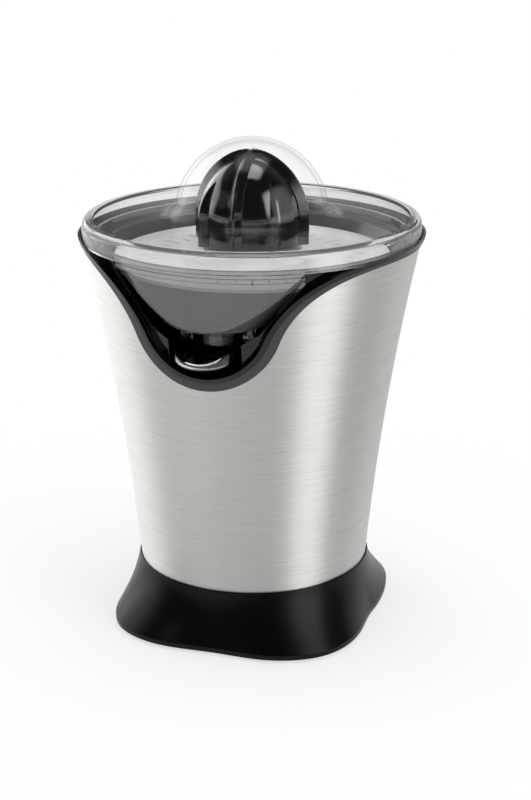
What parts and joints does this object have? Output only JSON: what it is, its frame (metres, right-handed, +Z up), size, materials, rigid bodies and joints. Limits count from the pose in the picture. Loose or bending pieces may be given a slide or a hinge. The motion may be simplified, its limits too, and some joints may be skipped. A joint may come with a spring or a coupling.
{
  "type": "citrus press juicer",
  "caption": "Electric citrus press with a flared brushed steel body, black rim and foot, clear dust cover, ribbed reamer, strainer, smoky juice bowl and drip-stop spout",
  "frame": {"origin": "on the drive axis, at table level", "axes": "+X right as seen from the front, +Y to the back, +Z up along the drive axis; the spout is at the front, -Y"},
  "size_m": [0.2112, 0.2106, 0.3033],
  "materials": {
    "clear_cover": "clear polished plastic, slightly bright at the edges",
    "black_gloss": "polished black plastic",
    "white_plastic": "satin white plastic",
    "smoky_bowl": "smoky grey see-through plastic",
    "clear_spout": "clear polished plastic",
    "brushed_body": "steel brushed round the body",
    "matte_trim": "matte dark grey plastic",
    "black_base": "satin black plastic",
    "black_rubber": "soft matte rubber",
    "dark_plastic": "moulded dark plastic",
    "gear_plastic": "cream engineering plastic",
    "spring_steel": "plain machined steel",
    "bronze": "sintered bronze",
    "lamination": "varnished steel laminations",
    "coil_tape": "yellow winding tape"
  },
  "bodies": {
    "housing": {"steel_shell": "brushed_body", "rim_trim": "matte_trim", "inner_housing": "black_gloss", "base_shell": "black_base", "base_plate": "dark_plastic", "base_screws": "spring_steel", "rubber_feet": "black_rubber", "tie_rods": "spring_steel", "cord_gland": "black_rubber", "gear_plate": "dark_plastic", "idler_axle": "spring_steel", "spindle_bush_upper": "bronze", "spindle_bush_lower": "bronze", "shaft_seal": "black_rubber", "motor_stack": "lamination", "motor_coil": "coil_tape", "motor_bracket_upper": "spring_steel", "motor_bracket_lower": "spring_steel", "motor_bushes": "bronze", "motor_bolts": "spring_steel", "switch_body": "dark_plastic", "return_spring": "spring_steel"},
    "bowl": {"juice_bowl": "smoky_bowl", "outlet_seal": "black_rubber", "spout_pins": "spring_steel"},
    "spout": {"spout": "clear_spout"},
    "strainer": {"strainer": "white_plastic"},
    "clip": {"reamer_clip": "spring_steel"},
    "reamer": {"reamer": "black_gloss"},
    "cover": {"dust_cover": "clear_cover"},
    "thrust": {"thrust_washer": "bronze"},
    "spindle": {"drive_spindle": "spring_steel", "output_gear": "gear_plastic"},
    "idler": {"idler_gear": "gear_plastic"},
    "rotor": {"motor_rotor": "lamination", "motor_shaft": "spring_steel", "motor_pinion": "bronze"},
    "plunger": {"switch_plunger": "gear_plastic"}
  },
  "joints": [
    {"name": "bowl_lift", "type": "slide", "parent": "housing", "child": "bowl", "axis": [0, 0, 1], "range_m": [0, 0.07]},
    {"name": "spout_tilt", "type": "hinge", "parent": "bowl", "child": "spout", "pos_m": [0, -0.06467, 0.199], "axis": [-1, 0, 0], "range_deg": [0, 20]},
    {"name": "strainer_lift", "type": "slide", "parent": "bowl", "child": "strainer", "axis": [0, 0, 1], "range_m": [0, 0.04]},
    {"name": "cover_lift", "type": "slide", "parent": "strainer", "child": "cover", "axis": [0, 0, 1], "range_m": [0, 0.06]},
    {"name": "spindle_press", "type": "slide", "parent": "housing", "child": "thrust", "axis": [0, 0, 1], "range_m": [-0.003, 0], "stiffness_N_per_m": 1500, "springref_m": 0.004, "deforming": ["return_spring"]},
    {"name": "spindle_spin", "type": "hinge", "parent": "thrust", "child": "spindle", "pos_m": [0, 0, 0.15], "axis": [0, 0, 1], "continuous": true},
    {"name": "idler_spin", "type": "hinge", "parent": "housing", "child": "idler", "pos_m": [0, 0.0315, 0.15], "axis": [0, 0, 1], "continuous": true},
    {"name": "rotor_spin", "type": "hinge", "parent": "housing", "child": "rotor", "pos_m": [0.02728, 0.01575, 0.09], "axis": [0, 0, 1], "continuous": true},
    {"name": "switch_press", "type": "slide", "parent": "housing", "child": "plunger", "axis": [0, 0, 1], "range_m": [-0.003, 0]},
    {"name": "reamer_press", "type": "slide", "parent": "strainer", "child": "clip", "axis": [0, 0, 1], "range_m": [-0.003, 0]},
    {"name": "reamer_spin", "type": "hinge", "parent": "clip", "child": "reamer", "pos_m": [0, 0, 0.245], "axis": [0, 0, 1], "continuous": true}
  ],
  "couplings": [
    {"joint": "idler_spin", "follows": "rotor_spin", "ratio": -0.28571},
    {"joint": "spindle_spin", "follows": "rotor_spin", "ratio": 0.081633},
    {"joint": "reamer_spin", "follows": "rotor_spin", "ratio": 0.081633},
    {"joint": "switch_press", "follows": "spindle_press", "ratio": 1},
    {"joint": "reamer_press", "follows": "spindle_press", "ratio": 1}
  ]
}
